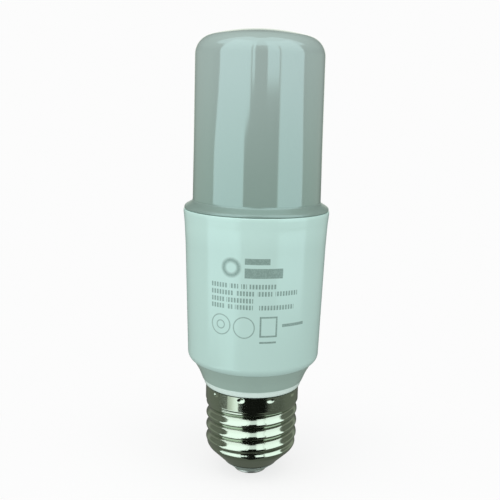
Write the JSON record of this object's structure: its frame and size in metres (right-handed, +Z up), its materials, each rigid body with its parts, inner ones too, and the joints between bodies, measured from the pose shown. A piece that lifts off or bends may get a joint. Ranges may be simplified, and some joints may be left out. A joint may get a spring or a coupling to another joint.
{
  "type": "led capsule lamp",
  "caption": "Capsule-shaped LED lamp: a long opal tube with a domed end on a tapered housing with an Edison screw cap, with its driver inside.",
  "frame": {"origin": "centre of the lower face of the centre contact, on the lamp's axis", "axes": "+Z up the lamp's axis from the cap to the domed end; -Y is the side that the picture shows"},
  "size_m": [0.0402, 0.0402, 0.1246],
  "materials": {
    "opal_diffuser": "blow-moulded opal cover, glossy",
    "housing_plastic": "moulded plastic, satin to glossy",
    "nickel_plate": "nickel-plated pressed sheet, bright",
    "insulator_plastic": "moulded insulator, matte",
    "contact_metal": "plated contact button, dull",
    "pressed_aluminium": "pressed sheet, satin",
    "white_solder_mask": "white coated light board",
    "led_package": "yellow phosphor in a white frame",
    "screw_steel": "plated steel",
    "green_solder_mask": "green coated circuit board",
    "black_plastic": "moulded package, black",
    "socket_plastic": "ivory moulding",
    "tinned_pin": "tinned",
    "capacitor_sleeve": "dark shrink sleeve",
    "ferrite": "sintered, dark grey",
    "enamelled_copper": "enamelled copper winding",
    "film_capacitor_case": "yellow dipped case",
    "fuse_coating": "pale flameproof coating",
    "chip_resistor": "black overglaze",
    "live_insulation": "red insulation",
    "neutral_insulation": "blue insulation"
  },
  "bodies": {
    "root": {"centre_contact": "contact_metal", "insulator": "insulator_plastic", "screw_shell": "nickel_plate", "housing": "housing_plastic", "diffuser": "opal_diffuser", "heat_sink_cup": "pressed_aluminium", "led_board": "white_solder_mask", "board_screw_1": "screw_steel", "board_screw_2": "screw_steel", "output_pin_1": "tinned_pin", "output_pin_2": "tinned_pin", "pin_socket": "socket_plastic", "driver_board": "green_solder_mask", "input_capacitor": "capacitor_sleeve", "output_capacitor": "capacitor_sleeve", "choke_core": "ferrite", "choke_winding": "enamelled_copper", "rectifier": "black_plastic", "controller_chip": "black_plastic", "freewheel_diode": "black_plastic", "film_capacitor": "film_capacitor_case", "chip_resistor_1": "chip_resistor", "chip_resistor_2": "chip_resistor", "chip_resistor_3": "chip_resistor", "fuse_resistor": "fuse_coating", "live_wire": "live_insulation", "neutral_wire": "neutral_insulation", "led_01": "led_package", "led_02": "led_package", "led_03": "led_package", "led_04": "led_package", "led_05": "led_package", "led_06": "led_package", "led_07": "led_package", "led_08": "led_package", "led_09": "led_package", "led_10": "led_package", "led_11": "led_package", "led_12": "led_package"}
  },
  "joints": []
}
